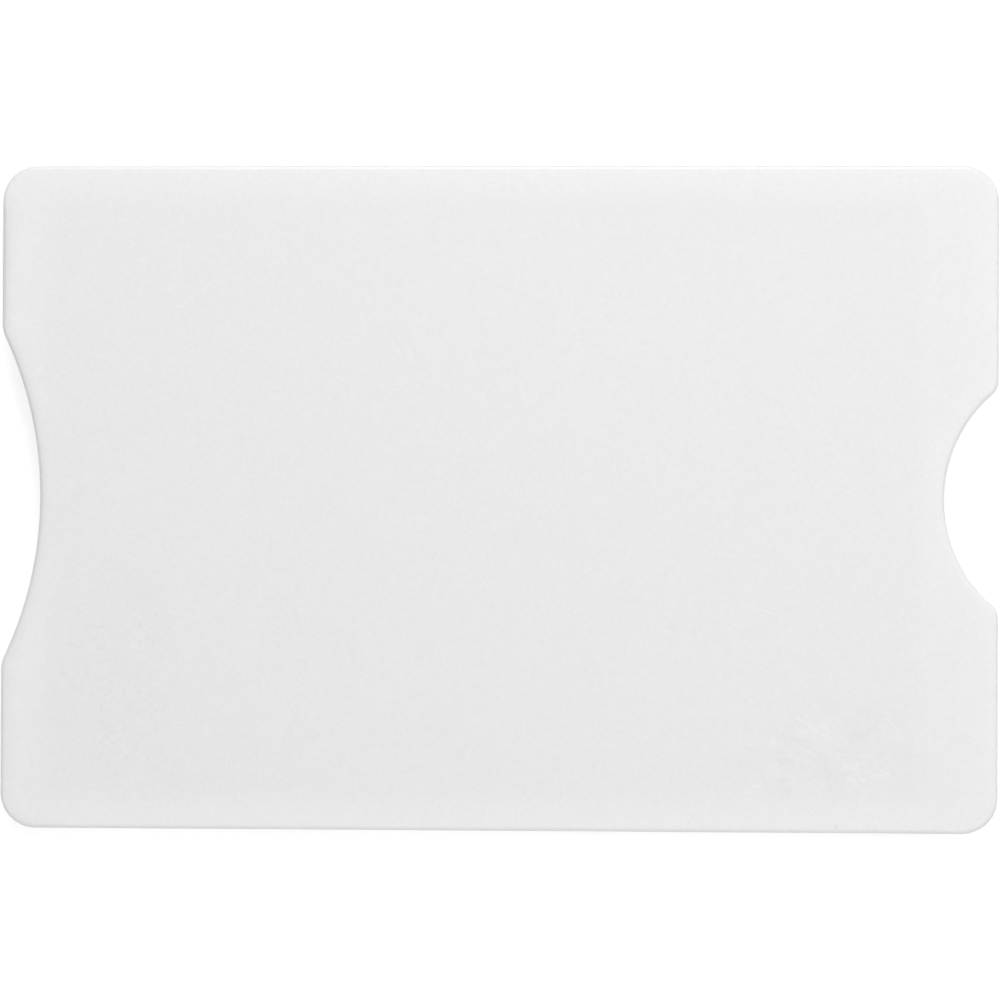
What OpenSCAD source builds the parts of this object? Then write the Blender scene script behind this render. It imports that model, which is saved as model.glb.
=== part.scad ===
// Rigid shielding sleeve for one ID-1 card: two moulded half shells welded rim to rim,
// each lined with a self-adhesive aluminium shield. Millimetres, +Z up.
// The sleeve lies on its rear face, with the origin at that face's centre.
// The card goes in at -X, through the wide shallow mouth, and a thumb pushes it out at +X.

/* [Card] */
// Length of the card that the sleeve is made for
card_l = 85.6; // [80:0.1:95]
// Width of the card
card_w = 53.98; // [50:0.01:60]
// Thickness of the card
card_t = 0.76; // [0.5:0.01:1.2]
// How far raised lettering may stand out of the card
emboss_h = 0.46; // [0:0.01:0.6]

/* [Pocket] */
// Room left over the card's thickness
lift_gap = 0.18; // [0.1:0.01:0.6]
// Room left at each long side of the card
side_gap = 0.51; // [0.3:0.01:1]
// How far the card's end lies inside the mouth's edge
card_recess = 1.9; // [1:0.1:3]
// Radius of the pocket's inner corners at the closed end
pocket_corner_r = 1.5; // [0.5:0.1:3]

/* [Shells] */
// Thickness of each face plate
plate_t = 1.2; // [0.9:0.05:2]
// Width of the rail along each long side
rail_w = 2.5; // [2.2:0.1:4]
// Width of the wall that stops the card at the closed end
stop_w = 2.5; // [2.2:0.1:4]
// Radius of the four outer corners
corner_r = 3.2; // [2.5:0.1:5]
// Rounding of the outer face's edges
edge_r = 0.4; // [0.2:0.05:0.6]
// Chamfer along the seam between the two shells
seam_break = 0.12; // [0.05:0.01:0.2]

/* [Mouth] */
// Width of the mouth's cut-away along the edge
mouth_chord = 30; // [20:0.5:36]
// Depth of the mouth's cut-away
mouth_depth = 3.5; // [2.5:0.1:5]
// Radius that blends the mouth's arc into the straight edge
mouth_blend = 3.2; // [1:0.1:5]

/* [Thumb notch] */
// Width of the thumb notch along the edge
notch_chord = 19.8; // [16:0.1:24]
// Depth of the thumb notch
notch_depth = 4.85; // [3.5:0.05:7]
// Radius that blends the notch's arc into the straight edge
notch_blend = 1.5; // [1:0.1:3]

/* [Lead-in and grip] */
// Chamfer on the plates' inner edges at the mouth and at the thumb notch
lip_break = 0.35; // [0.1:0.05:0.6]
// How far each rail flares back at the mouth
flare_depth = 0.8; // [0.3:0.1:1.4]
// Length of that flare
flare_l = 2.4; // [1:0.1:4]
// Distance from the mouth's edge to the middle of the grip bumps
bump_at = 8; // [6:0.5:20]
// How far each grip bump stands out of its rail
bump_h = 0.45; // [0.2:0.05:0.5]
// Radius of the grip bumps
bump_r = 4; // [2:0.5:8]

/* [Weld joint] */
// Distance from the outer wall to the weld ridge
weld_inset = 1; // [0.8:0.05:1.2]
// Width of the weld ridge on the rear shell
ridge_w = 0.5; // [0.3:0.05:0.6]
// Height of the weld ridge
ridge_h = 0.3; // [0.15:0.05:0.4]
// Room round the ridge in the front shell's groove
weld_gap = 0.05; // [0.02:0.01:0.08]
// Length of rim left without ridge at each open end
weld_end = 4; // [1.5:0.5:8]

/* [Shield] */
// Thickness of the adhesive film that holds the foil
adhesive_t = 0.03; // [0.02:0.01:0.06]
// Thickness of the aluminium foil
foil_t = 0.04; // [0.02:0.01:0.08]
// Thickness of the clear wear film over the foil
wear_film_t = 0.03; // [0.02:0.01:0.06]
// Distance from the bottom of the mouth's arc to the shield
shield_mouth_gap = 0.6; // [0.5:0.1:4]
// Distance from the bottom of the thumb notch to the shield
shield_notch_gap = 2.2; // [0.5:0.1:6]
// Distance from each rail to the shield
shield_side_gap = 0.6; // [0.55:0.05:2]
// Radius of the shield's corners
shield_corner_r = 1.5; // [0.5:0.1:4]
// How far the adhesive film stays inside the foil's edge
adhesive_inset = 0.5; // [0.2:0.1:1.5]

/* [Hidden] */
shield_t = adhesive_t + foil_t + wear_film_t;
slot_h = card_t + emboss_h + lift_gap + 2 * shield_t;
body_l = card_l + card_recess + stop_w;
body_w = card_w + 2 * (side_gap + rail_w);
body_t = 2 * plate_t + slot_h;
seam_z = body_t / 2;
pocket_w = card_w + 2 * side_gap;
end_x = body_l / 2;
side_y = body_w / 2;
stop_x = end_x - stop_w;
rail_y = pocket_w / 2;
shield_x0 = -end_x + mouth_depth + shield_mouth_gap;
shield_x1 = end_x - notch_depth - shield_notch_gap;
shield_y = rail_y - shield_side_gap;
// How far a cutter reaches past what it cuts
past = 1;
corner_steps = 10;
blend_steps = 5;
arc_steps = 20;
edge_steps = 5;
$fn = 64;

// Points along an arc, from angle a0 to angle a1
function arc(centre, r, a0, a1, steps) =
    [for (i = [0:steps]) let (a = a0 + (a1 - a0) * i / steps) centre + r * [cos(a), sin(a)]];

// The points of an arc without its two ends, where a neighbour already has them
function between(points) = [for (i = [1:len(points) - 2]) points[i]];

// Radius of the arc that cuts a chord to a depth
function arc_radius(chord, depth) = (chord * chord / 4 + depth * depth) / (2 * depth);

// Half the width of a cut-away where it is as deep as the given depth
function half_width_at(chord, depth, at) =
    let (r = arc_radius(chord, depth)) sqrt(pow(r, 2) - pow(r - depth + at, 2));

// A cut-away in the +X edge, walked towards +Y and drawn in by the inset:
// a blend, the hollow arc and a blend back into the straight edge
function cutaway(chord, depth, blend, inset) =
    let (
        r = arc_radius(chord, depth),
        reach = r - depth,
        blend_y = sqrt(pow(r + blend, 2) - pow(reach + blend, 2)),
        turn = atan2(blend_y, reach + blend)
    )
    concat(
        arc([end_x - blend, -blend_y], blend - inset, 0, turn, blend_steps),
        between(arc([end_x + reach, 0], r + inset, 180 + turn, 180 - turn, arc_steps)),
        arc([end_x - blend, blend_y], blend - inset, -turn, 0, blend_steps)
    );

// One outer corner, at the given signs of X and Y
function corner(sx, sy, a0, inset) =
    arc([sx * (end_x - corner_r), sy * (side_y - corner_r)], corner_r - inset, a0, a0 + 90, corner_steps);

// The sleeve's outline, counterclockwise and drawn in by the inset
function outline(inset) = concat(
    corner(1, -1, -90, inset),
    cutaway(notch_chord, notch_depth, notch_blend, inset),
    corner(1, 1, 0, inset),
    corner(-1, 1, 90, inset),
    [for (p = cutaway(mouth_chord, mouth_depth, mouth_blend, inset)) -p],
    corner(-1, -1, 180, inset)
);

// The same outline without its two cut-aways
function plain_outline(inset) = concat(
    corner(1, -1, -90, inset),
    corner(1, 1, 0, inset),
    corner(-1, 1, 90, inset),
    corner(-1, -1, 180, inset)
);

// A solid whose outline follows a rim profile of [inset, height] pairs, listed upwards
module lofted_plate(rim) {
    n = len(outline(0));
    rings = len(rim);
    skin = [for (p = rim) each [for (q = outline(p[0])) [q[0], q[1], p[1]]]];
    low = len(skin);
    high = low + 1;
    ends = [[0, 0, rim[0][1]], [0, 0, rim[rings - 1][1]]];
    top = (rings - 1) * n;
    sides = [
        for (k = [0:rings - 2], i = [0:n - 1])
            let (a = k * n + i, b = k * n + (i + 1) % n)
            each [[a, a + n, b + n], [a, b + n, b]]
    ];
    caps = [
        for (i = [0:n - 1])
            let (j = (i + 1) % n)
            each [[low, i, j], [high, top + j, top + i]]
    ];
    polyhedron(concat(skin, ends), concat(sides, caps), convexity = 6);
}

// Half the width over which the thumb notch opens the pocket
notch_open_y = half_width_at(notch_chord, notch_depth, stop_w);

// Rim profile of a shell: rounded at the outer face, straight, and broken at the seam
shell_rim = concat(
    [for (i = [0:edge_steps]) let (a = 90 * i / edge_steps) edge_r * [1 - sin(a), 1 - cos(a)]],
    [[0, seam_z - seam_break], [seam_break, seam_z]]
);

// The space for the card in one shell, open at the mouth
module pocket() {
    straight_x = stop_x - pocket_corner_r;
    translate([-end_x - past, -rail_y, plate_t])
        cube([end_x + past + straight_x, pocket_w, seam_z]);
    translate([0, -rail_y + pocket_corner_r, plate_t])
        cube([stop_x, pocket_w - 2 * pocket_corner_r, seam_z]);
    for (side = [-1, 1])
        translate([straight_x, side * (rail_y - pocket_corner_r), plate_t])
            cylinder(r = pocket_corner_r, h = seam_z);
}

// The rails flare back at the mouth, so that the card finds its way in
module rail_flare() {
    flare = [
        [-end_x - past, rail_y - past],
        [-end_x - past, rail_y + flare_depth * (1 + past / flare_l)],
        [-end_x + flare_l, rail_y],
        [-end_x + flare_l, rail_y - past]
    ];
    for (side = [0, 1])
        mirror([0, side, 0])
            translate([0, 0, plate_t])
                linear_extrude(seam_z)
                    polygon(flare);
}

// What the chamfer takes off the plate's inner edge, at the mouth and at the thumb notch.
// Its slab reaches past the chamfer downwards and inwards, so that no two faces coincide.
module lip_chamfer() {
    slab_h = 1.5 * lip_break;
    slab_reach = 2 * lip_break;
    difference() {
        for (open = [[-end_x, rail_y, mouth_depth], [end_x, notch_open_y, notch_depth]])
            translate([open[0], 0, plate_t - slab_h / 2])
                cube([2 * (open[2] + slab_reach), 2 * open[1], slab_h], center = true);
        lofted_plate([
            [-lip_break, plate_t - 2 * lip_break],
            [lip_break, plate_t],
            [lip_break, plate_t + past]
        ]);
    }
}

// A low bump on each rail, which grips the card's edges
module grip_bumps() {
    for (side = [0, 1])
        mirror([0, side, 0])
            intersection() {
                translate([-end_x + bump_at, rail_y - bump_h + bump_r, plate_t / 2])
                    cylinder(r = bump_r, h = seam_z - plate_t / 2);
                translate([-end_x, 0, 0])
                    cube([end_x, rail_y + rail_w / 2, seam_z]);
            }
}

// Plan of the weld joint: it runs along both rails and the stop wall, and leaves the open ends free
module weld_plan(inset, width) {
    notch_half = notch_chord / 2 + weld_end;
    difference() {
        polygon(plain_outline(inset));
        polygon(plain_outline(inset + width));
        translate([-end_x, -side_y])
            square([weld_end, body_w]);
        translate([0, -notch_half])
            square([end_x, 2 * notch_half]);
        translate([-end_x, -rail_y])
            square([end_x, pocket_w]);
    }
}

// One half of the sleeve, outer face down
module half_shell() {
    difference() {
        union() {
            difference() {
                lofted_plate(shell_rim);
                pocket();
            }
            grip_bumps();
        }
        rail_flare();
        lip_chamfer();
    }
}

// Turns what is built face down into its place in the front half
module to_front() {
    translate([0, 0, body_t])
        mirror([0, 0, 1])
            children();
}

// A sheet of the shield, lying on the rear plate
module sheet(z, thickness, inset) {
    r = shield_corner_r;
    x0 = shield_x0 + inset;
    x1 = shield_x1 - inset;
    y1 = shield_y - inset;
    translate([0, 0, z])
        linear_extrude(thickness) {
            translate([x0 + r, -y1])
                square([x1 - x0 - 2 * r, 2 * y1]);
            translate([x0, -y1 + r])
                square([x1 - x0, 2 * (y1 - r)]);
            for (x = [x0 + r, x1 - r], y = [-y1 + r, y1 - r])
                translate([x, y])
                    circle(r);
        }
}

module rear_shell() {
    color("white") {
        half_shell();
        translate([0, 0, seam_z - past])
            linear_extrude(past + ridge_h)
                weld_plan(weld_inset, ridge_w);
    }
}

module front_shell() {
    color("white")
        to_front()
            difference() {
                half_shell();
                translate([0, 0, seam_z - ridge_h - weld_gap])
                    linear_extrude(past)
                        weld_plan(weld_inset - weld_gap, ridge_w + 2 * weld_gap);
            }
}

module adhesive_film() {
    color("lightgrey")
        sheet(plate_t, adhesive_t, adhesive_inset);
}

module shield_foil() {
    color("silver")
        sheet(plate_t + adhesive_t, foil_t, 0);
}

module wear_film() {
    color("whitesmoke")
        sheet(plate_t + adhesive_t + foil_t, wear_film_t, 0);
}

module rear_adhesive_film() adhesive_film();
module front_adhesive_film() to_front() adhesive_film();
module rear_shield_foil() shield_foil();
module front_shield_foil() to_front() shield_foil();
module rear_wear_film() wear_film();
module front_wear_film() to_front() wear_film();

rear_shell();
front_shell();
rear_adhesive_film();
front_adhesive_film();
rear_shield_foil();
front_shield_foil();
rear_wear_film();
front_wear_film();
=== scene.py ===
"""Looks of the rigid shielding card sleeve: finely moulded shells, finishes, floor, light and camera."""
import math

import bmesh
import bpy
from mathutils import Matrix, Vector


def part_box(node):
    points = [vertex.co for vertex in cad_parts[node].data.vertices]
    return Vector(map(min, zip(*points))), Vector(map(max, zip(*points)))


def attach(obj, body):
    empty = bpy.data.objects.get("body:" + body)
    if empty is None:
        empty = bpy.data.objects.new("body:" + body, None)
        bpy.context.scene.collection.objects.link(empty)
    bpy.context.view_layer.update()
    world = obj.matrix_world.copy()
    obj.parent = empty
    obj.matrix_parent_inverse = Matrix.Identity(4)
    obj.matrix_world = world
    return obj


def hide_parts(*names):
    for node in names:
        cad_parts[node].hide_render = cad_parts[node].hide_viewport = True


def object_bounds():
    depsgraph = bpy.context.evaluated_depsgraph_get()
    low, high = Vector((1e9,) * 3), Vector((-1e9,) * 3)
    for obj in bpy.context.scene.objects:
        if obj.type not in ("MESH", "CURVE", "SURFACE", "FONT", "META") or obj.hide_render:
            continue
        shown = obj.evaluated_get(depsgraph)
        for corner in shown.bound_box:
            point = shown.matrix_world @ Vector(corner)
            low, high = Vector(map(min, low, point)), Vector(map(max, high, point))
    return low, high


MM = 0.001

# Shells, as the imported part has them
PLATE_T = 1.2 * MM
RAIL_W = 2.5 * MM
STOP_W = 2.5 * MM
CORNER_R = 3.2 * MM
EDGE_R = 0.4 * MM
SEAM_BREAK = 0.12 * MM
POCKET_CORNER_R = 1.5 * MM
POCKET_FILLET_R = 0.25 * MM

# Mouth at -X and thumb notch at +X: width along the edge, depth and blend into the edge
MOUTH = (30 * MM, 3.5 * MM, 3.2 * MM)
NOTCH = (19.8 * MM, 4.85 * MM, 1.5 * MM)

# Lead-in and grip
LIP_BREAK = 0.35 * MM
FLARE_DEPTH = 0.8 * MM
FLARE_L = 2.4 * MM
BUMP_AT = 8 * MM
BUMP_H = 0.45 * MM
BUMP_R = 4 * MM

# Weld joint between the shells
WELD_INSET = 1 * MM
RIDGE_W = 0.5 * MM
RIDGE_H = 0.3 * MM
WELD_GAP = 0.05 * MM
WELD_END = 4 * MM

# How far cutters reach past what they cut, the size of a sliver, and how finely curves are drawn
PAST = 1 * MM
SLIVER = 0.001 * MM
CORNER_STEPS = 28
BLEND_STEPS = 14
ARC_STEPS = 72
EDGE_STEPS = 9
POCKET_STEPS = 12
FILLET_STEPS = 5
SEAM_STEPS = 3
LIP_STEPS = 6
BUMP_STEPS = 16

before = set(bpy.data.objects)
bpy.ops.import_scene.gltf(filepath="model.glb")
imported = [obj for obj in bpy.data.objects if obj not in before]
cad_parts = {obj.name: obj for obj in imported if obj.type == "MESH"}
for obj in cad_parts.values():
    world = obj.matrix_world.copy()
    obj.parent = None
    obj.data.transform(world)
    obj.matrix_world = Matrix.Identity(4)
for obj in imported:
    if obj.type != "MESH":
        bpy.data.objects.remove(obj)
cad_lo, cad_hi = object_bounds()

END_X = cad_hi.x
SIDE_Y = cad_hi.y
BODY_T = cad_hi.z
SEAM_Z = BODY_T / 2
STOP_X = END_X - STOP_W
RAIL_Y = SIDE_Y - RAIL_W


def arc(centre, radius, start, stop, steps):
    """Points along an arc, between two angles in degrees."""
    points = []
    for i in range(steps + 1):
        a = math.radians(start + (stop - start) * i / steps)
        points.append((centre[0] + radius * math.cos(a), centre[1] + radius * math.sin(a)))
    return points


def arc_radius(chord, depth):
    """Radius of the arc that cuts a chord to a depth."""
    return (chord * chord / 4 + depth * depth) / (2 * depth)


def cutaway(chord, depth, blend, inset):
    """A cut-away in the +X edge, walked towards +Y: a blend, the hollow arc and a blend back."""
    r = arc_radius(chord, depth)
    reach = r - depth
    blend_y = math.sqrt((r + blend) ** 2 - (reach + blend) ** 2)
    turn = math.degrees(math.atan2(blend_y, reach + blend))
    hollow = arc((END_X + reach, 0), r + inset, 180 + turn, 180 - turn, ARC_STEPS)
    return (
        arc((END_X - blend, -blend_y), blend - inset, 0, turn, BLEND_STEPS)
        + hollow[1:-1]
        + arc((END_X - blend, blend_y), blend - inset, -turn, 0, BLEND_STEPS)
    )


def corner(sx, sy, start, inset):
    """One outer corner, at the given signs of X and Y."""
    centre = (sx * (END_X - CORNER_R), sy * (SIDE_Y - CORNER_R))
    return arc(centre, CORNER_R - inset, start, start + 90, CORNER_STEPS)


def outline(inset):
    """The sleeve's outline, counterclockwise and drawn in by the inset."""
    return (
        corner(1, -1, -90, inset)
        + cutaway(*NOTCH, inset)
        + corner(1, 1, 0, inset)
        + corner(-1, 1, 90, inset)
        + [(-x, -y) for x, y in cutaway(*MOUTH, inset)]
        + corner(-1, -1, 180, inset)
    )


def pocket_side(inset):
    """The pocket's +Y side, walked from the closed end to the mouth, with its grip bump and flare."""
    bump_x = -END_X + BUMP_AT
    bump_centre = (bump_x, RAIL_Y - BUMP_H + BUMP_R)
    half_turn = math.degrees(math.acos((BUMP_R - BUMP_H + inset) / (BUMP_R + inset)))
    corner_centre = (STOP_X - POCKET_CORNER_R, RAIL_Y - POCKET_CORNER_R)
    return (
        arc(corner_centre, POCKET_CORNER_R - inset, 0, 90, POCKET_STEPS)
        + arc(bump_centre, BUMP_R + inset, -90 + half_turn, -90 - half_turn, BUMP_STEPS)
        + [
            (-END_X + FLARE_L, RAIL_Y - inset),
            (-END_X - PAST, RAIL_Y - inset + FLARE_DEPTH * (1 + PAST / FLARE_L)),
        ]
    )


def pocket_outline(inset):
    """The card's space seen from above, counterclockwise, open past the mouth."""
    side = pocket_side(inset)
    return side + [(x, -y) for x, y in reversed(side)]


def loft(name, shape, rim):
    """A closed mesh whose outline follows a rim of (inset, height) pairs, listed upwards."""
    work = bmesh.new()
    rings = [[work.verts.new((x, y, z)) for x, y in shape(inset)] for inset, z in rim]
    count = len(rings[0])
    for low, high in zip(rings, rings[1:]):
        for i in range(count):
            j = (i + 1) % count
            work.faces.new((low[i], low[j], high[j], high[i]))
    work.faces.new(reversed(rings[0]))
    work.faces.new(rings[-1])
    mesh = bpy.data.meshes.new(name)
    work.to_mesh(mesh)
    work.free()
    made = bpy.data.objects.new(name, mesh)
    bpy.context.collection.objects.link(made)
    return made


def prism(name, points, z0, z1):
    """An upright closed mesh over a fixed outline."""
    return loft(name, lambda inset: points, [(0, z0), (0, z1)])


def block(name, x0, x1, y0, y1, z0, z1):
    """A box-shaped cutter."""
    return prism(name, [(x0, y0), (x1, y0), (x1, y1), (x0, y1)], z0, z1)


def settle(made):
    """Turns an object's modifiers into its mesh, without the slivers that cuts leave."""
    shown = made.evaluated_get(bpy.context.evaluated_depsgraph_get())
    mesh = bpy.data.meshes.new_from_object(shown)
    work = bmesh.new()
    work.from_mesh(mesh)
    bmesh.ops.dissolve_degenerate(work, dist=SLIVER, edges=work.edges)
    work.to_mesh(mesh)
    work.free()
    old = made.data
    made.modifiers.clear()
    made.data = mesh
    bpy.data.meshes.remove(old)


def combine(made, others, operation):
    """Cuts the others from an object or joins them to it, and uses them up."""
    for other in others:
        step = made.modifiers.new(operation.lower(), "BOOLEAN")
        step.operation = operation
        step.solver = "EXACT"
        step.object = other
    settle(made)
    for other in others:
        mesh = other.data
        bpy.data.objects.remove(other)
        bpy.data.meshes.remove(mesh)


def rounding(radius, z, steps, upward):
    """Rim points of a quarter round: from a face at z out to the wall, or from the wall in to it."""
    turns = [math.radians(90 * i / steps) for i in range(steps + 1)]
    if upward:
        return [(radius * (1 - math.sin(a)), z + radius * (1 - math.cos(a))) for a in turns]
    return [(radius * (1 - math.cos(a)), z - radius * (1 - math.sin(a))) for a in turns]


def shell_rim():
    """Rim of a shell: rounded at the outer face, straight, and broken at the seam."""
    face = [(2 * EDGE_R, 0)]
    return face + rounding(EDGE_R, 0, EDGE_STEPS, True) + rounding(SEAM_BREAK, SEAM_Z, SEAM_STEPS, False)


def pocket_cutter():
    """The card's space in one shell, with a small fillet round its floor."""
    rim = rounding(POCKET_FILLET_R, PLATE_T, FILLET_STEPS, True)
    return loft("pocket", pocket_outline, rim + [(0, SEAM_Z + PAST)])


def lip_cutters():
    """What rounds the plate's inner edge, at the mouth and at the thumb notch."""
    notch_r = arc_radius(NOTCH[0], NOTCH[1])
    notch_open_y = math.sqrt(notch_r**2 - (notch_r - NOTCH[1] + STOP_W) ** 2)
    cutters = []
    for name, edge_x, half_y, depth in (
        ("mouth_lip", -END_X, RAIL_Y, MOUTH[1]),
        ("notch_lip", END_X, notch_open_y, NOTCH[1]),
    ):
        reach = depth + 2 * LIP_BREAK
        slab_z = (PLATE_T - 1.5 * LIP_BREAK, PLATE_T + 0.1 * LIP_BREAK)
        slab = block(name, edge_x - reach, edge_x + reach, -half_y, half_y, *slab_z)
        below = [(-LIP_BREAK, PLATE_T - 2 * LIP_BREAK)]
        kept = below + rounding(LIP_BREAK, PLATE_T, LIP_STEPS, False)[1:] + [(LIP_BREAK, PLATE_T + PAST)]
        combine(slab, [loft("kept", outline, kept)], "DIFFERENCE")
        cutters.append(slab)
    return cutters


def weld_strips(inset, width, z0, z1):
    """The weld joint's two strips, along each rail and round into the stop wall."""
    notch_half = NOTCH[0] / 2 + WELD_END
    centre = (END_X - CORNER_R, SIDE_Y - CORNER_R)
    start_x = -END_X + WELD_END
    outer = [(END_X - inset, notch_half)] + arc(centre, CORNER_R - inset, 0, 90, CORNER_STEPS)
    outer.append((start_x, SIDE_Y - inset))
    far = inset + width
    inner = [(END_X - far, notch_half)] + arc(centre, CORNER_R - far, 0, 90, CORNER_STEPS)
    inner.append((start_x, SIDE_Y - far))
    strip = outer + inner[::-1]
    mirrored = [(x, -y) for x, y in reversed(strip)]
    return [prism("weld_left", strip, z0, z1), prism("weld_right", mirrored, z0, z1)]


def half_shell(name):
    """One moulded half, outer face down."""
    made = loft(name, outline, shell_rim())
    combine(made, [pocket_cutter()], "DIFFERENCE")
    combine(made, lip_cutters(), "DIFFERENCE")
    return made


# Turn between faces from which an edge is shaded sharp, in degrees
SHARP_FROM = 35


def finish_shell(made):
    """Shades curves smooth and flat faces flat."""
    made.data.shade_smooth()
    made.data.set_sharp_from_angle(angle=math.radians(SHARP_FROM))
    made.modifiers.new("flat_faces", "WEIGHTED_NORMAL").keep_sharp = True


def make_rear_shell():
    """The rear half, with the weld ridge standing on its rim."""
    made = half_shell("rear_shell_moulding")
    combine(made, weld_strips(WELD_INSET, RIDGE_W, SEAM_Z - RIDGE_H, SEAM_Z + RIDGE_H), "UNION")
    finish_shell(made)
    return made


def make_front_shell():
    """The front half, turned over, with the groove that takes the ridge."""
    made = half_shell("front_shell_moulding")
    groove_z = SEAM_Z - RIDGE_H - WELD_GAP
    cutters = weld_strips(WELD_INSET - WELD_GAP, RIDGE_W + 2 * WELD_GAP, groove_z, SEAM_Z + PAST)
    combine(made, cutters, "DIFFERENCE")
    made.data.transform(Matrix.Translation((0, 0, BODY_T)) @ Matrix.Diagonal((1, 1, -1, 1)))
    made.data.flip_normals()
    finish_shell(made)
    return made


def node(tree, kind, sockets=None, **settings):
    """Adds a shader node. A socket's value may be a number, a colour or another node's output."""
    made = tree.nodes.new(kind)
    for name, value in settings.items():
        setattr(made, name, value)
    for name, value in (sockets or {}).items():
        if isinstance(value, bpy.types.NodeSocket):
            tree.links.new(value, made.inputs[name])
        else:
            made.inputs[name].default_value = value
    return made


def math_node(tree, operation, *values):
    """A Math node's output, for numbers or other outputs."""
    return node(tree, "ShaderNodeMath", dict(enumerate(values)), operation=operation).outputs[0]


def product(tree, value, other):
    """Two values multiplied."""
    return math_node(tree, "MULTIPLY", value, other)


def vector_node(tree, operation, *values, out="Vector"):
    """A Vector Math node's output, for vectors or other outputs."""
    return node(tree, "ShaderNodeVectorMath", dict(enumerate(values)), operation=operation).outputs[out]


def span(tree, value, low, high, start=0.0, end=1.0):
    """A smooth step that goes from start at low to end at high."""
    sockets = {"Value": value, "From Min": low, "From Max": high, "To Min": start, "To Max": end}
    return node(tree, "ShaderNodeMapRange", sockets, interpolation_type="SMOOTHSTEP").outputs[0]


def noise(tree, vector, scale, detail=0.0, roughness=0.5):
    """Noise around zero."""
    sockets = {"Vector": vector, "Scale": scale, "Detail": detail, "Roughness": roughness}
    made = node(tree, "ShaderNodeTexNoise", sockets)
    return math_node(tree, "SUBTRACT", made.outputs[0], 0.5)


def effect(name, inputs, outputs):
    """An empty node group. Inputs map names to default values, and outputs are names of numbers."""
    tree = bpy.data.node_groups.new(name, "ShaderNodeTree")
    for socket, value in inputs.items():
        kind = "NodeSocketVector" if isinstance(value, tuple) else "NodeSocketFloat"
        tree.interface.new_socket(socket, in_out="INPUT", socket_type=kind).default_value = value
    for socket in outputs:
        tree.interface.new_socket(socket, in_out="OUTPUT", socket_type="NodeSocketFloat")
    return tree, node(tree, "NodeGroupInput").outputs


def give(tree, **values):
    """Connects an effect's results to its outputs."""
    node(tree, "NodeGroupOutput", values)


# Grain: scale of its middling specks and its blotches against the fine ones, and their strength
MIDDLING = (0.45, 0.85)
BLOTCHES = (0.2, 0.28)


def grain_effect():
    """Fine grain of a moulded or coated surface: specks of one size, then middling ones and blotches."""
    tree, given = effect("fine_grain", {"Position": (0, 0, 0), "Speck Size": 0.2}, ("Tint", "Height"))
    scale = math_node(tree, "DIVIDE", 1, given["Speck Size"])
    specks = noise(tree, given["Position"], scale)
    middling = noise(tree, given["Position"], product(tree, scale, MIDDLING[0]))
    blotches = noise(tree, given["Position"], product(tree, scale, BLOTCHES[0]), 1)
    pits = math_node(tree, "MULTIPLY_ADD", middling, MIDDLING[1], specks)
    give(tree, Tint=math_node(tree, "MULTIPLY_ADD", blotches, BLOTCHES[1], pits), Height=pits)
    return tree


def cloud_effect():
    """Soft uneven tone, such as handling and slight unevenness in a batch leave."""
    tree, given = effect("soft_clouds", {"Position": (0, 0, 0), "Cloud Size": 5.0}, ("Tint",))
    scale = math_node(tree, "DIVIDE", 1, given["Cloud Size"])
    give(tree, Tint=noise(tree, given["Position"], scale, 2, 0.6))
    return tree


# Hairlines: how sharp they are, and how finely the field is drawn that leaves stretches of them out
LINE_SHARPNESS = 14
LINE_GAPS = 0.37


def hairline_effect():
    """Faint straight lines in one direction: rolling lines, or scratches from a card."""
    inputs = {"Position": (0, 0, 0), "Direction": 0.0, "Line Length": 10.0, "Line Spacing": 0.3, "Share": 0.3}
    tree, given = effect("hairlines", inputs, ("Line",))
    turned = node(
        tree,
        "ShaderNodeVectorRotate",
        {"Vector": given["Position"], "Angle": given["Direction"]},
        rotation_type="Z_AXIS",
    ).outputs[0]
    cell = node(tree, "ShaderNodeCombineXYZ", {0: given["Line Length"], 1: given["Line Spacing"], 2: 1.0})
    stretched = vector_node(tree, "DIVIDE", turned, cell.outputs[0])
    off = math_node(tree, "ABSOLUTE", noise(tree, stretched, 1, 1))
    nearness = math_node(tree, "SUBTRACT", 1, product(tree, off, LINE_SHARPNESS))
    present = math_node(tree, "ADD", noise(tree, stretched, LINE_GAPS), given["Share"])
    shown = math_node(tree, "GREATER_THAN", present, 0.5)
    give(tree, Line=product(tree, math_node(tree, "MAXIMUM", nearness, 0), shown))
    return tree


# Full-strength share of a speck's radius, and of half a scratch's length
SPECK_CORE = 0.5
SCRATCH_CORE = 0.4


def speck_effect():
    """Sparse small round specks, such as dust, pinholes or bubbles, and a tone of -1 to 1 for each."""
    inputs = {"Position": (0, 0, 0), "Spacing": 6.0, "Radius": 0.1}
    tree, given = effect("specks", inputs, ("Speck", "Tone"))
    scale = math_node(tree, "DIVIDE", 1, given["Spacing"])
    cells = node(tree, "ShaderNodeTexVoronoi", {"Vector": given["Position"], "Scale": scale})
    distance = product(tree, cells.outputs["Distance"], given["Spacing"])
    chance = node(tree, "ShaderNodeSeparateColor", {"Color": cells.outputs["Color"]}).outputs
    reach = product(tree, given["Radius"], chance[0])
    speck = span(tree, distance, product(tree, reach, SPECK_CORE), reach, 1, 0)
    own_tone = math_node(tree, "MULTIPLY_ADD", chance[1], 2, -1)
    give(tree, Speck=speck, Tone=product(tree, speck, own_tone))
    return tree


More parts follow.
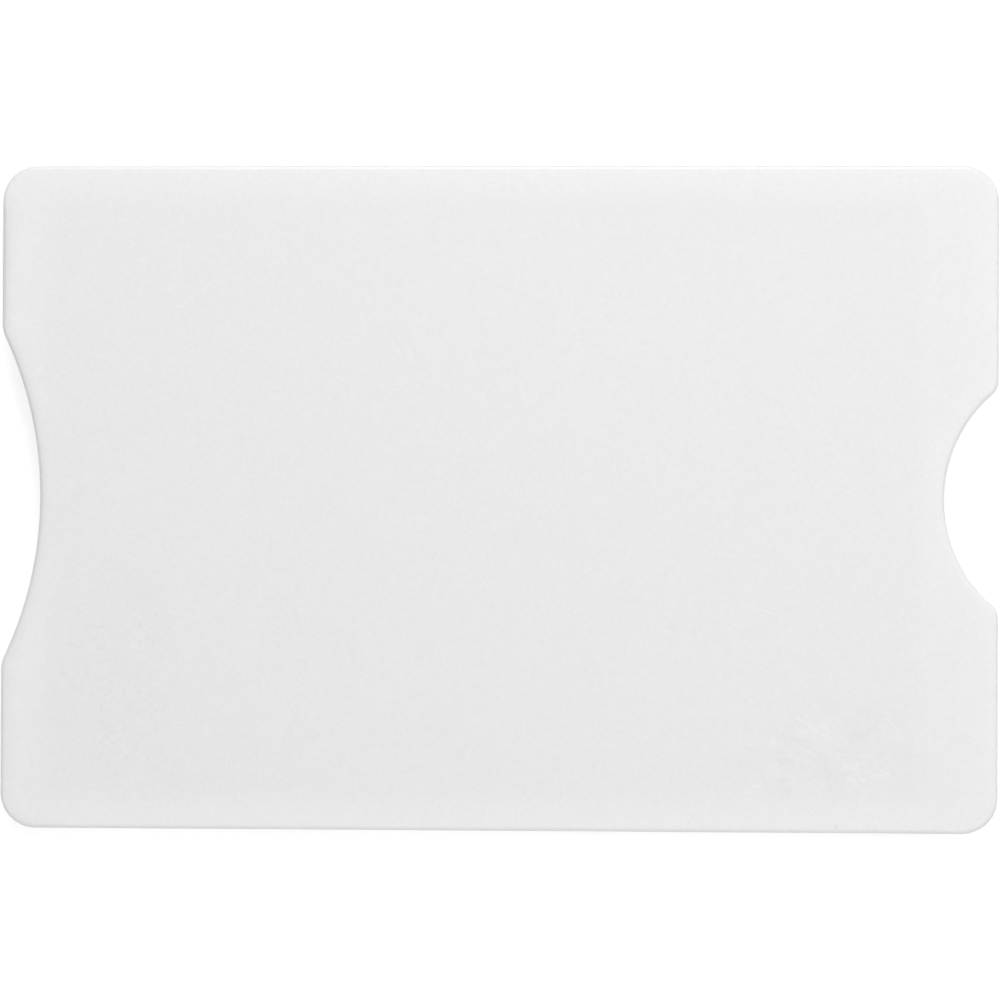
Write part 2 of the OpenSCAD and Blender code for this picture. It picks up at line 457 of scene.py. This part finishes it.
def scratch_effect():
    """One scratch along an arc: its circle, the middle of the scratch, half its length and its width."""
    inputs = {
        "Position": (0, 0, 0),
        "Centre": (0, 0, 0),
        "Middle": (1, 0, 0),
        "Half Length": 3.0,
        "Width": 0.1,
    }
    tree, given = effect("scratch", inputs, ("Mark",))
    radius = vector_node(tree, "DISTANCE", given["Middle"], given["Centre"], out="Value")
    reach = vector_node(tree, "DISTANCE", given["Position"], given["Centre"], out="Value")
    off = math_node(tree, "ABSOLUTE", math_node(tree, "SUBTRACT", reach, radius))
    across = span(tree, off, 0, given["Width"], 1, 0)
    along = vector_node(tree, "DISTANCE", given["Position"], given["Middle"], out="Value")
    fade_from = product(tree, given["Half Length"], SCRATCH_CORE)
    fade = span(tree, along, fade_from, given["Half Length"], 1, 0)
    give(tree, Mark=product(tree, across, fade))
    return tree


def surface(name):
    """An empty node material with its output and its shader."""
    material = bpy.data.materials.new(name)
    material.use_nodes = True
    tree = material.node_tree
    tree.nodes.clear()
    shader = node(tree, "ShaderNodeBsdfPrincipled")
    node(tree, "ShaderNodeOutputMaterial", {"Surface": shader.outputs[0]})
    return material, tree, shader


def use(tree, group, **sockets):
    """Places a shared effect in a material. Socket names have _ for a space."""
    made = node(tree, "ShaderNodeGroup", node_tree=group)
    for name, value in sockets.items():
        socket = made.inputs[name.replace("_", " ")]
        if isinstance(value, bpy.types.NodeSocket):
            tree.links.new(value, socket)
        else:
            socket.default_value = value
    return made.outputs


def place_mm(tree):
    """Where a point is on the part, in millimetres."""
    place = node(tree, "ShaderNodeTexCoord").outputs["Object"]
    return node(tree, "ShaderNodeVectorMath", {0: place, "Scale": 1 / MM}, operation="SCALE").outputs[0]


def total(tree, start, *parts):
    """A start value plus each part times its weight."""
    for value, weight in parts:
        start = math_node(tree, "MULTIPLY_ADD", value, weight, start)
    return start


def tinted(tree, colour, tone):
    """A colour made lighter or darker by a tone around 1."""
    return node(tree, "ShaderNodeVectorMath", {0: colour, "Scale": tone}, operation="SCALE").outputs[0]


def bumped(tree, shader, height, depth):
    """Gives a shader relief from a height, with its depth in metres."""
    relief = node(tree, "ShaderNodeBump", {"Height": height, "Distance": depth, "Strength": 1.0})
    tree.links.new(relief.outputs[0], shader.inputs["Normal"])


# Painted shade along the mouth's lip, in mm: how far it reaches, where it is full, and how it grows towards
# +Y per mm
LIP_SHADE_REACH = 0.4
LIP_SHADE_FROM = 0.3
LIP_SHADE_LEAN = 0.0165

# Where it ends: the distances from the mouth's end, and from the +Y side, between which it fades, in mm
LIP_SHADE_FADE = (3, 7)
LIP_SHADE_STOP = (5, 2)

# Half the width over which the shield's edge shows through, in mm
SHIELD_BLUR = 1.2

# Patches that handling has marked: centre and radii in mm
GREY_PATCH = ((-34.6, -15.4), (7, 11.5))
SMEARED_PATCH = ((30.5, -22.6), (10, 5.5))
RUBBED_SPOTS = (((15.2, -11.2), (2.8, 1.5)), ((25.2, -10.8), (1.8, 1.1)))

# How deep the patches go in mm, how ragged they are, and the shares of a radius between which they fade
PATCH_DEPTH = 3
PATCH_RAGGEDNESS = 0.9
PATCH_FADE = (0.35, 1.1)

# Light scratches: middle, direction in degrees, radius of the arc, half length and width, in mm
SCRATCHES = (
    ((23.2, -9.8), -17, 60, 5.5, 0.16),
    ((26.6, -23.1), -25, 14, 2.4, 0.2),
    ((22.8, -18.1), -35, 9, 0.9, 0.16),
    ((37.2, -14.1), -4, 12, 1.6, 0.12),
    ((33.8, -25.0), 12, 8, 2.6, 0.22),
    ((23.2, -25.9), 35, 12, 1.9, 0.3),
    ((-27.0, 18.6), 38, 90, 4.5, 0.12),
    ((-21.5, 20.6), 24, 70, 3.2, 0.1),
    ((-33.0, 22.8), -62, 60, 2.6, 0.1),
)


def past(tree, value, half):
    """How far a value lies beyond a half width on either side of zero, zero within it."""
    over = math_node(tree, "SUBTRACT", math_node(tree, "ABSOLUTE", value), half)
    return math_node(tree, "MAXIMUM", over, 0)


def past_corner(tree, x, y, half_x, half_y):
    """How far a point lies outside a box centred on the origin, zero inside it."""
    over_x = past(tree, x, half_x)
    over_y = past(tree, y, half_y)
    return math_node(tree, "SQRT", total(tree, product(tree, over_x, over_x), (over_y, over_y)))


def from_side(tree, x, y):
    """How far a point lies inside the sleeve's rounded rectangle, up to the corner radius."""
    corner_r = CORNER_R / MM
    half_x = END_X / MM - corner_r
    half_y = SIDE_Y / MM - corner_r
    return math_node(tree, "SUBTRACT", corner_r, past_corner(tree, x, y, half_x, half_y))


def painted_lip_shade(tree, x, y, to_side):
    """Painted shade along the mouth's lip, which no wall stands under: most at the lip, fading inwards."""
    mouth_r = arc_radius(*MOUTH[:2]) / MM
    centre = (-(END_X - MOUTH[1]) / MM - mouth_r, 0, 0)
    flat = node(tree, "ShaderNodeCombineXYZ", {0: x, 1: y, 2: 0.0}).outputs[0]
    to_mouth = math_node(tree, "SUBTRACT", vector_node(tree, "DISTANCE", flat, centre, out="Value"), mouth_r)
    inside = math_node(tree, "MAXIMUM", math_node(tree, "MINIMUM", to_side, to_mouth), LIP_SHADE_FROM)
    fading = math_node(tree, "EXPONENT", math_node(tree, "DIVIDE", inside, -LIP_SHADE_REACH))
    near_mouth = span(tree, x, *(d - END_X / MM for d in LIP_SHADE_FADE), 1, 0)
    uneven = math_node(tree, "MULTIPLY_ADD", y, LIP_SHADE_LEAN, 1)
    before_corner = span(tree, y, *(SIDE_Y / MM - d for d in LIP_SHADE_STOP), 1, 0)
    # Painted shade, darkest at the lip and stronger towards +Y
    painted_shade = product(tree, product(tree, fading, near_mouth), uneven)
    return product(tree, painted_shade, before_corner)


def over_shield(tree, x, y):
    """1 over the shield in the shell, which shows through the plastic, and 0 beyond its edge."""
    lo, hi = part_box("front_shield_foil")
    middle = (lo.x + hi.x) / 2 / MM
    half_x = (hi.x - lo.x) / 2 / MM - SHIELD_BLUR
    half_y = hi.y / MM - SHIELD_BLUR
    beyond = past_corner(tree, math_node(tree, "SUBTRACT", x, middle), y, half_x, half_y)
    return span(tree, beyond, 0, 2 * SHIELD_BLUR, 1, 0)


def patch(tree, place, centre, radii, ragged):
    """A handled patch with a ragged edge: 1 in its middle, 0 outside."""
    off = vector_node(tree, "SUBTRACT", place, (*centre, BODY_T / MM))
    reach = vector_node(tree, "LENGTH", vector_node(tree, "DIVIDE", off, (*radii, PATCH_DEPTH)), out="Value")
    return span(tree, math_node(tree, "MULTIPLY_ADD", ragged, PATCH_RAGGEDNESS, reach), *PATCH_FADE, 1, 0)


def all_scratches(tree, place, effect_group):
    """1 along the light scratches of the front face."""
    scratched = 0.0
    for middle, direction, radius, half_length, width in SCRATCHES:
        side = math.radians(direction + 90)
        centre = (middle[0] + radius * math.cos(side), middle[1] + radius * math.sin(side), BODY_T / MM)
        mark = use(
            tree,
            effect_group,
            Position=place,
            Centre=centre,
            Middle=(*middle, BODY_T / MM),
            Half_Length=half_length,
            Width=width,
        )["Mark"]
        scratched = math_node(tree, "MAXIMUM", scratched, mark)
    return scratched


# White plastic: its colour, and in mm its grain, clouds, dust, dirt caught at the edge and fine marks
WHITE = (0.846, 0.846, 0.846)
MOULD_GRAIN = 0.19
CLOUD_SIZES = (4.5, 26)
DUST = {"Spacing": 6.5, "Radius": 0.24}
DIRT = {"Spacing": 2.6, "Radius": 0.24}
DIRT_BAND = (0.5, 1.6)
FINE_MARKS = {"Direction": 0.6, "Line_Length": 6, "Line_Spacing": 0.9, "Share": 0.42}
SMEARS = {"Direction": 0.5, "Line_Length": 1.9, "Line_Spacing": 0.65, "Share": 0.52}

# Noise in its marks: size in mm, detail, roughness, and the values between which it turns on
PITS = (0.3, 1, 0.5, 0.1, 0.26)
MOTTLE = (0.9, 3, 0.8, -0.15, 0.25)
BLOTS = (2.4, 2, 0.6, -0.2, 0.3)

# Grain breaks up the scratches: values between which they show, and how much is left below
SCRATCH_BREAK = (-0.15, 0.15, 0.2)

# Depth of the plastic's grain, and how far light spreads under its surface, in metres
GRAIN_DEPTH = 8e-6
GLOW_DEPTH = 2 * MM


def spots(tree, place, size, detail, roughness, low, high):
    """Noise turned into soft spots: 1 where it is high."""
    return span(tree, noise(tree, place, 1 / size, detail, roughness), low, high)


def white_plastic(effects):
    """Matt white moulded plastic, slightly translucent, with fine grain, the marks of handling and a painted
    shade along the mouth's lip.
    """
    material, tree, shader = surface("white_moulded_plastic")
    place = place_mm(tree)
    x, y = node(tree, "ShaderNodeSeparateXYZ", {0: place}).outputs[:2]
    grain = use(tree, effects["grain"], Position=place, Speck_Size=MOULD_GRAIN)
    clouds, broad = (use(tree, effects["clouds"], Position=place, Cloud_Size=s)["Tint"] for s in CLOUD_SIZES)
    dust = use(tree, effects["specks"], Position=place, **DUST)["Tone"]
    fine_marks = use(tree, effects["hairlines"], Position=place, **FINE_MARKS)["Line"]
    to_side = from_side(tree, x, y)
    at_edge = span(tree, to_side, *DIRT_BAND, 1, 0)
    dirt = product(tree, use(tree, effects["specks"], Position=place, **DIRT)["Speck"], at_edge)

    pits = spots(tree, place, *PITS)
    grey = patch(tree, place, *GREY_PATCH, clouds)
    speckled = grey
    for spot in RUBBED_SPOTS:
        speckled = math_node(tree, "MAXIMUM", speckled, patch(tree, place, *spot, clouds))
    smeared = patch(tree, place, *SMEARED_PATCH, clouds)
    smears = use(tree, effects["hairlines"], Position=place, **SMEARS)["Line"]

    scratch_low, scratch_high, scratch_left = SCRATCH_BREAK
    broken = span(tree, grain["Tint"], scratch_low, scratch_high, scratch_left, 1)
    scratched = product(tree, all_scratches(tree, place, effects["scratch"]), broken)

    tone = total(
        tree,
        1.0,
        (grain["Tint"], 0.04),
        (clouds, 0.006),
        (broad, 0.006),
        (over_shield(tree, x, y), -0.018),
        # Painted shade along the mouth's lip, darkening the colour
        (painted_lip_shade(tree, x, y, to_side), -0.2),
        (dust, 0.09),
        (dirt, -0.12),
        (fine_marks, 0.003),
        (pits, -0.012),
        (product(tree, speckled, pits), -0.045),
        (product(tree, grey, spots(tree, place, *MOTTLE)), -0.02),
        (product(tree, smeared, spots(tree, place, *BLOTS)), -0.036),
        (product(tree, smeared, smears), 0.036),
        (scratched, 0.036),
    )
    tree.links.new(tinted(tree, WHITE, tone), shader.inputs["Base Color"])
    handled = math_node(tree, "MAXIMUM", grey, smeared)
    roughness = total(
        tree,
        0.34,
        (grain["Height"], 0.07),
        (handled, 0.02),
        (scratched, 0.04),
        (broad, 0.05),
    )
    tree.links.new(roughness, shader.inputs["Roughness"])
    bumped(tree, shader, grain["Height"], GRAIN_DEPTH)
    shader.inputs["Subsurface Weight"].default_value = 0.35
    shader.inputs["Subsurface Radius"].default_value = (1, 1, 1)
    shader.inputs["Subsurface Scale"].default_value = GLOW_DEPTH
    return material


# Shield's sheets: their colours, and in mm the marks on each
TACKY = (0.85, 0.85, 0.82)
ALUMINIUM = (0.78, 0.79, 0.8)
CLEAR = (0.95, 0.96, 0.97)
BUBBLES = {"Spacing": 1.6, "Radius": 0.3}
ROLLING_LINES = {"Direction": 0.0, "Line_Length": 18, "Line_Spacing": 0.22, "Share": 0.6}
CARD_RUBS = {"Direction": 0.02, "Line_Length": 25, "Line_Spacing": 0.35, "Share": 0.45}
STRAY_RUBS = {"Direction": 0.35, "Line_Length": 7, "Line_Spacing": 0.8, "Share": 0.2}
FILM_DUST = {"Spacing": 4, "Radius": 0.12}

# Depth of each sheet's relief, in metres
ADHESIVE_RELIEF = 1e-5
FOIL_RELIEF = 6e-5
FILM_RELIEF = 3e-5


def tacky_adhesive(effects):
    """Clear acrylic transfer adhesive, with small bubbles and an uneven coat."""
    material, tree, shader = surface("tacky_adhesive")
    place = place_mm(tree)
    grain = use(tree, effects["grain"], Position=place, Speck_Size=0.35)
    clouds = use(tree, effects["clouds"], Position=place, Cloud_Size=3)["Tint"]
    bubbles = use(tree, effects["specks"], Position=place, **BUBBLES)["Speck"]
    tone = total(tree, 1.0, (clouds, 0.12), (grain["Tint"], 0.08), (bubbles, 0.06))
    tree.links.new(tinted(tree, TACKY, tone), shader.inputs["Base Color"])
    tree.links.new(total(tree, 0.3, (clouds, 0.2), (bubbles, -0.1)), shader.inputs["Roughness"])
    tree.links.new(total(tree, 0.6, (clouds, 0.3), (bubbles, -0.35)), shader.inputs["Alpha"])
    bumped(tree, shader, total(tree, grain["Height"], (bubbles, 1.5)), ADHESIVE_RELIEF)
    shader.inputs["IOR"].default_value = 1.47
    return material


def rolled_foil(effects):
    """Satin aluminium foil, with rolling lines along the sleeve and slight waves."""
    material, tree, shader = surface("rolled_foil")
    place = place_mm(tree)
    lines = use(tree, effects["hairlines"], Position=place, **ROLLING_LINES)["Line"]
    grain = use(tree, effects["grain"], Position=place, Speck_Size=0.12)
    clouds = use(tree, effects["clouds"], Position=place, Cloud_Size=6)["Tint"]
    tone = total(tree, 1.0, (clouds, 0.1), (lines, -0.08), (grain["Tint"], 0.05))
    tree.links.new(tinted(tree, ALUMINIUM, tone), shader.inputs["Base Color"])
    tree.links.new(total(tree, 0.26, (clouds, 0.15), (lines, 0.1)), shader.inputs["Roughness"])
    bumped(tree, shader, total(tree, clouds, (lines, 0.12), (grain["Height"], 0.04)), FOIL_RELIEF)
    shader.inputs["Metallic"].default_value = 1.0
    return material


def clear_film(effects):
    """Clear glossy polyester film, finely scratched along the way the card slides."""
    material, tree, shader = surface("clear_film")
    place = place_mm(tree)
    rubs = use(tree, effects["hairlines"], Position=place, **CARD_RUBS)["Line"]
    stray = use(tree, effects["hairlines"], Position=place, **STRAY_RUBS)["Line"]
    clouds = use(tree, effects["clouds"], Position=place, Cloud_Size=8)["Tint"]
    dust = use(tree, effects["specks"], Position=place, **FILM_DUST)["Speck"]
    grain = use(tree, effects["grain"], Position=place, Speck_Size=0.3)
    worn = math_node(tree, "MAXIMUM", rubs, stray)
    tone = total(tree, 1.0, (clouds, 0.05), (worn, -0.05), (dust, -0.15))
    tree.links.new(tinted(tree, CLEAR, tone), shader.inputs["Base Color"])
    tree.links.new(total(tree, 0.08, (worn, 0.25), (clouds, 0.06)), shader.inputs["Roughness"])
    tree.links.new(total(tree, 0.35, (worn, 0.2), (dust, 0.4), (clouds, 0.1)), shader.inputs["Alpha"])
    bumped(tree, shader, total(tree, clouds, (worn, -0.1), (grain["Height"], 0.03)), FILM_RELIEF)
    shader.inputs["IOR"].default_value = 1.6
    return material


def seen_directly(tree):
    """1 for camera rays and for what metal and clear film show, 0 for light that falls on things."""
    path = node(tree, "ShaderNodeLightPath")
    shown = math_node(tree, "MAXIMUM", path.outputs["Is Camera Ray"], path.outputs["Is Glossy Ray"])
    return math_node(tree, "MAXIMUM", shown, path.outputs["Is Transmission Ray"])


# Floor: its side and how far it lies under the sleeve, in metres, its tone, and its glow where it is seen
FLOOR_SIDE = 4.0
FLOOR_GAP = 0.00002
FLOOR_TONE = 0.55
FLOOR_GLOW = 0.64


def make_floor():
    """A white floor that keeps a faint shadow of the sleeve."""
    material = bpy.data.materials.new("white_floor")
    material.use_nodes = True
    tree = material.node_tree
    tree.nodes.clear()
    paper = node(tree, "ShaderNodeBsdfDiffuse", {"Color": (FLOOR_TONE,) * 3 + (1,)})
    glow = node(tree, "ShaderNodeEmission", {"Color": (1, 1, 1, 1), "Strength": FLOOR_GLOW})
    both = node(tree, "ShaderNodeAddShader", {0: paper.outputs[0], 1: glow.outputs[0]})
    sockets = {0: seen_directly(tree), 1: paper.outputs[0], 2: both.outputs[0]}
    mix = node(tree, "ShaderNodeMixShader", sockets)
    node(tree, "ShaderNodeOutputMaterial", {"Surface": mix.outputs[0]})
    half = FLOOR_SIDE / 2
    corners = [(-half, -half, 0), (half, -half, 0), (half, half, 0), (-half, half, 0)]
    mesh = bpy.data.meshes.new("floor")
    mesh.from_pydata(corners, [], [(0, 1, 2, 3)])
    mesh.materials.append(material)
    floor = bpy.data.objects.new("floor", mesh)
    floor.location.z = cad_lo.z - FLOOR_GAP
    bpy.context.collection.objects.link(floor)


# Light from all round, and how much more of it comes from -Y
WORLD_GLOW = 0.49
WORLD_LEAN = 0.54


def make_world():
    """Studio light from all round, more of it from -Y, seen as white."""
    world = bpy.data.worlds.new("studio")
    bpy.context.scene.world = world
    world.use_nodes = True
    tree = world.node_tree
    tree.nodes.clear()
    shown = seen_directly(tree)
    towards = node(tree, "ShaderNodeTexCoord").outputs["Generated"]
    side = node(tree, "ShaderNodeVectorMath", {0: towards, 1: (0, -1, 0)}, operation="DOT_PRODUCT")
    glow = math_node(tree, "MULTIPLY_ADD", side.outputs["Value"], WORLD_GLOW * WORLD_LEAN, WORLD_GLOW)
    strength = node(tree, "ShaderNodeMix", {"Factor": shown, "A": glow, "B": 1.0})
    back = node(tree, "ShaderNodeBackground", {"Color": (1, 1, 1, 1), "Strength": strength.outputs[0]})
    node(tree, "ShaderNodeOutputWorld", {"Surface": back.outputs[0]})


# Soft boxes: name, azimuth, elevation, distance, side and power
LAMPS = (
    ("key", 90, 35, 0.6, 0.2, 1.39),
    ("side", 20, 35, 0.6, 0.28, 0.4),
    ("overhead", 50, 72, 0.52, 0.4, 0.6),
    ("fill", 270, 30, 0.22, 0.1, 0.03),
)


def make_lamp(name, azimuth, elevation, distance, side, power):
    """A square soft box aimed at the sleeve. Azimuth 0 is +X and 90 is +Y, in degrees."""
    data = bpy.data.lights.new(name, "AREA")
    data.shape = "SQUARE"
    data.size = side
    data.energy = power
    lamp = bpy.data.objects.new(name, data)
    turn = Matrix.Rotation(math.radians(azimuth), 4, "Z")
    tilt = Matrix.Rotation(math.radians(90 - elevation), 4, "Y")
    lamp.matrix_world = turn @ tilt @ Matrix.Translation((0, 0, distance))
    bpy.context.collection.objects.link(lamp)


# Camera: distance, turns about Y, X and its own axis, what it looks at, its lens, sensor and clipping
CAMERA_DISTANCE = 400 * MM
CAMERA_YAW = math.radians(2.77)
CAMERA_PITCH = math.radians(0.48)
CAMERA_ROLL = math.radians(0.216)
CAMERA_AIM = Vector((0.235 * MM, -0.167 * MM, 3.6 * MM))
CAMERA_LENS = 159.6
CAMERA_SENSOR = 36
CAMERA_CLIP = (0.01, 10)


def make_camera():
    """The camera over the front face, leaning a little towards the thumb notch."""
    data = bpy.data.cameras.new("camera")
    data.lens = CAMERA_LENS
    data.sensor_width = CAMERA_SENSOR
    data.clip_start, data.clip_end = CAMERA_CLIP
    camera = bpy.data.objects.new("camera", data)
    turn = Matrix.Rotation(CAMERA_YAW, 4, "Y") @ Matrix.Rotation(CAMERA_PITCH, 4, "X")
    turn = turn @ Matrix.Rotation(CAMERA_ROLL, 4, "Z")
    camera.matrix_world = Matrix.Translation(CAMERA_AIM) @ turn @ Matrix.Translation((0, 0, CAMERA_DISTANCE))
    bpy.context.collection.objects.link(camera)
    bpy.context.scene.camera = camera


make_camera()
make_world()
make_floor()
for lamp in LAMPS:
    make_lamp(*lamp)

effects = {
    "grain": grain_effect(),
    "clouds": cloud_effect(),
    "hairlines": hairline_effect(),
    "specks": speck_effect(),
    "scratch": scratch_effect(),
}
plastic = white_plastic(effects)
for made, cad_node in ((make_rear_shell(), "rear_shell"), (make_front_shell(), "front_shell")):
    made.data.materials.clear()
    made.data.materials.append(plastic)
    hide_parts(cad_node)
    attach(made, "root")

SHIELD_FINISHES = {
    "adhesive_film": tacky_adhesive(effects),
    "shield_foil": rolled_foil(effects),
    "wear_film": clear_film(effects),
}
for layer, material in SHIELD_FINISHES.items():
    for side in ("rear", "front"):
        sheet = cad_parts[side + "_" + layer]
        for slot in sheet.material_slots:
            slot.material = material

bpy.context.scene.view_settings.view_transform = "Standard"
